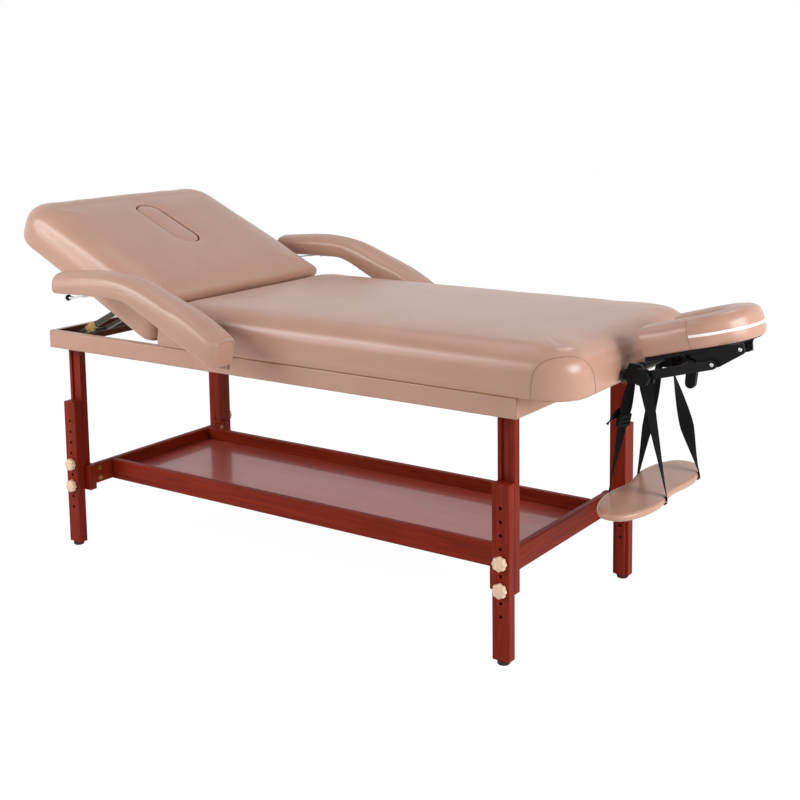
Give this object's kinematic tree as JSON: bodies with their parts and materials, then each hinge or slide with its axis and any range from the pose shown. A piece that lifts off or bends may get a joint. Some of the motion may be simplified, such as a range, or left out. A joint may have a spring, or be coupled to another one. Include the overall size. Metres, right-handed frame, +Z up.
{
  "type": "massage table",
  "caption": "Height-adjustable massage table with a lifting back, breath hole plug, swinging armrests, tilting face cradle, hanging arm shelf and a storage tray.",
  "frame": {"origin": "on the floor, below the middle of the whole part's box at rest", "axes": "+X along the bed towards the face cradle, +Y across to the far side, +Z up"},
  "size_m": [2.0932, 1.02, 0.9964],
  "materials": {
    "tan_vinyl": "smooth upholstery vinyl, soft sheen",
    "stained_wood": "mahogany stain under satin lacquer",
    "plywood": "bare plywood",
    "beige_plastic": "moulded plastic",
    "black_plastic": "moulded plastic",
    "webbing": "woven webbing",
    "dark_rubber": "soft rubber",
    "zinc_steel": "zinc plated",
    "yellow_steel": "yellow zinc plated"
  },
  "bodies": {
    "frame": {"apron": "tan_vinyl", "hinge_rail": "plywood", "main_deck": "plywood", "main_cushion": "tan_vinyl", "tray_panel": "stained_wood", "hinge_leaf_fixed": "zinc_steel", "upper_leg_head_near": "stained_wood", "upper_leg_head_far": "stained_wood", "upper_leg_foot_near": "stained_wood", "upper_leg_foot_far": "stained_wood", "end_rail_head": "stained_wood", "end_rail_foot": "stained_wood", "tray_rail_near": "stained_wood", "tray_rail_far": "stained_wood", "stay_rack_near": "yellow_steel", "stay_rack_far": "yellow_steel", "peg_sleeve_near": "black_plastic", "peg_sleeve_far": "black_plastic", "armrest_mount_near": "zinc_steel", "armrest_mount_far": "zinc_steel"},
    "leg_head_near": {"lower_leg_head_near": "stained_wood", "glide_head_near": "dark_rubber"},
    "leg_head_far": {"lower_leg_head_far": "stained_wood", "glide_head_far": "dark_rubber"},
    "leg_foot_near": {"lower_leg_foot_near": "stained_wood", "glide_foot_near": "dark_rubber"},
    "leg_foot_far": {"lower_leg_foot_far": "stained_wood", "glide_foot_far": "dark_rubber"},
    "knob_head_near_top": {"star_knob_head_near_top": "beige_plastic"},
    "knob_head_near_low": {"star_knob_head_near_low": "beige_plastic"},
    "knob_head_far_top": {"star_knob_head_far_top": "beige_plastic"},
    "knob_head_far_low": {"star_knob_head_far_low": "beige_plastic"},
    "knob_foot_near_top": {"star_knob_foot_near_top": "beige_plastic"},
    "knob_foot_near_low": {"star_knob_foot_near_low": "beige_plastic"},
    "knob_foot_far_top": {"star_knob_foot_far_top": "beige_plastic"},
    "knob_foot_far_low": {"star_knob_foot_far_low": "beige_plastic"},
    "back": {"back_deck": "plywood", "back_cushion": "tan_vinyl", "hinge_leaf_moving": "zinc_steel", "stay_bracket": "zinc_steel"},
    "stay": {"stay_frame": "stained_wood"},
    "plug": {"breath_hole_plug": "tan_vinyl"},
    "armrest_near": {"armrest_pad_near": "tan_vinyl", "armrest_core_near": "plywood"},
    "release_lever_near": {"armrest_lever_near": "zinc_steel"},
    "armrest_far": {"armrest_pad_far": "tan_vinyl", "armrest_core_far": "plywood"},
    "release_lever_far": {"armrest_lever_far": "zinc_steel"},
    "cradle": {"cradle_mount": "black_plastic"},
    "cradle_arm_frame": {"cradle_arms": "black_plastic"},
    "face_platform": {"cradle_platform": "black_plastic", "face_pad": "tan_vinyl"},
    "hub_knob_near_body": {"hub_knob_near": "black_plastic"},
    "hub_knob_far_body": {"hub_knob_far": "black_plastic"},
    "cam": {"cam_lever": "black_plastic"},
    "sling": {"arm_shelf": "tan_vinyl", "shelf_strap_near": "webbing", "shelf_strap_far": "webbing", "strap_buckle": "black_plastic"}
  },
  "joints": [
    {"name": "leg_slide_head_near", "type": "slide", "parent": "frame", "child": "leg_head_near", "axis": [0, 0, 1], "range_m": [-0.128, 0.064]},
    {"name": "knob_turn_head_near_top", "type": "hinge", "parent": "frame", "child": "knob_head_near_top", "pos_m": [-0.86616, -0.3305, 0.2443], "axis": [0, -1, 0], "continuous": true},
    {"name": "knob_turn_head_near_low", "type": "hinge", "parent": "frame", "child": "knob_head_near_low", "pos_m": [-0.86616, -0.3305, 0.1803], "axis": [0, -1, 0], "continuous": true},
    {"name": "leg_slide_head_far", "type": "slide", "parent": "frame", "child": "leg_head_far", "axis": [0, 0, 1], "range_m": [-0.128, 0.064]},
    {"name": "knob_turn_head_far_top", "type": "hinge", "parent": "frame", "child": "knob_head_far_top", "pos_m": [-0.86616, 0.3305, 0.2443], "axis": [0, 1, 0], "continuous": true},
    {"name": "knob_turn_head_far_low", "type": "hinge", "parent": "frame", "child": "knob_head_far_low", "pos_m": [-0.86616, 0.3305, 0.1803], "axis": [0, 1, 0], "continuous": true},
    {"name": "leg_slide_foot_near", "type": "slide", "parent": "frame", "child": "leg_foot_near", "axis": [0, 0, 1], "range_m": [-0.128, 0.064]},
    {"name": "knob_turn_foot_near_top", "type": "hinge", "parent": "frame", "child": "knob_foot_near_top", "pos_m": [0.56884, -0.3305, 0.2443], "axis": [0, -1, 0], "continuous": true},
    {"name": "knob_turn_foot_near_low", "type": "hinge", "parent": "frame", "child": "knob_foot_near_low", "pos_m": [0.56884, -0.3305, 0.1803], "axis": [0, -1, 0], "continuous": true},
    {"name": "leg_slide_foot_far", "type": "slide", "parent": "frame", "child": "leg_foot_far", "axis": [0, 0, 1], "range_m": [-0.128, 0.064]},
    {"name": "knob_turn_foot_far_top", "type": "hinge", "parent": "frame", "child": "knob_foot_far_top", "pos_m": [0.56884, 0.3305, 0.2443], "axis": [0, 1, 0], "continuous": true},
    {"name": "knob_turn_foot_far_low", "type": "hinge", "parent": "frame", "child": "knob_foot_far_low", "pos_m": [0.56884, 0.3305, 0.1803], "axis": [0, 1, 0], "continuous": true},
    {"name": "back_lift", "type": "hinge", "parent": "frame", "child": "back", "pos_m": [-0.50866, 0, 0.6383], "axis": [0, 1, 0], "range_deg": [-26.4, 5.4]},
    {"name": "stay_fold", "type": "hinge", "parent": "back", "child": "stay", "pos_m": [-0.67536, 0, 0.70732], "axis": [0, 1, 0], "range_deg": [-10.9, 52.9]},
    {"name": "plug_lift", "type": "slide", "parent": "back", "child": "plug", "axis": [0.4446, 0, 0.8957], "range_m": [0, 0.09]},
    {"name": "armrest_swing_near", "type": "hinge", "parent": "frame", "child": "armrest_near", "pos_m": [-0.24666, -0.465, 0.707], "axis": [0, 1, 0], "range_deg": [-20, 75]},
    {"name": "release_turn_near", "type": "hinge", "parent": "armrest_near", "child": "release_lever_near", "pos_m": [-0.55272, -0.465, 0.78595], "axis": [-0.0436, 0, 0.999], "range_deg": [-25, 25]},
    {"name": "armrest_swing_far", "type": "hinge", "parent": "frame", "child": "armrest_far", "pos_m": [-0.24666, 0.465, 0.707], "axis": [0, 1, 0], "range_deg": [-20, 75]},
    {"name": "release_turn_far", "type": "hinge", "parent": "armrest_far", "child": "release_lever_far", "pos_m": [-0.55272, 0.465, 0.78595], "axis": [-0.0436, 0, 0.999], "range_deg": [-25, 25]},
    {"name": "cradle_pull", "type": "slide", "parent": "frame", "child": "cradle", "axis": [1, 0, 0], "range_m": [0, 0.1]},
    {"name": "cradle_lift", "type": "hinge", "parent": "cradle", "child": "cradle_arm_frame", "pos_m": [0.81434, 0, 0.664], "axis": [0, 1, 0], "range_deg": [-15, 20]},
    {"name": "platform_tilt", "type": "hinge", "parent": "cradle_arm_frame", "child": "face_platform", "pos_m": [0.97422, 0, 0.70864], "axis": [0, 1, 0], "range_deg": [-5, 25]},
    {"name": "hub_knob_turn_near", "type": "hinge", "parent": "cradle", "child": "hub_knob_near_body", "pos_m": [0.81434, -0.116, 0.664], "axis": [0, -1, 0], "continuous": true},
    {"name": "hub_knob_turn_far", "type": "hinge", "parent": "cradle", "child": "hub_knob_far_body", "pos_m": [0.81434, 0.116, 0.664], "axis": [0, 1, 0], "continuous": true},
    {"name": "cam_turn", "type": "hinge", "parent": "cradle_arm_frame", "child": "cam", "pos_m": [0.88658, 0, 0.68417], "axis": [0, 1, 0], "range_deg": [-60, 45]},
    {"name": "sling_swing", "type": "hinge", "parent": "cradle", "child": "sling", "pos_m": [0.78434, 0, 0.672], "axis": [0, 1, 0], "range_deg": [-20, 1.5]}
  ],
  "couplings": [
    {"joint": "stay_fold", "follows": "back_lift", "ratio": -2}
  ]
}
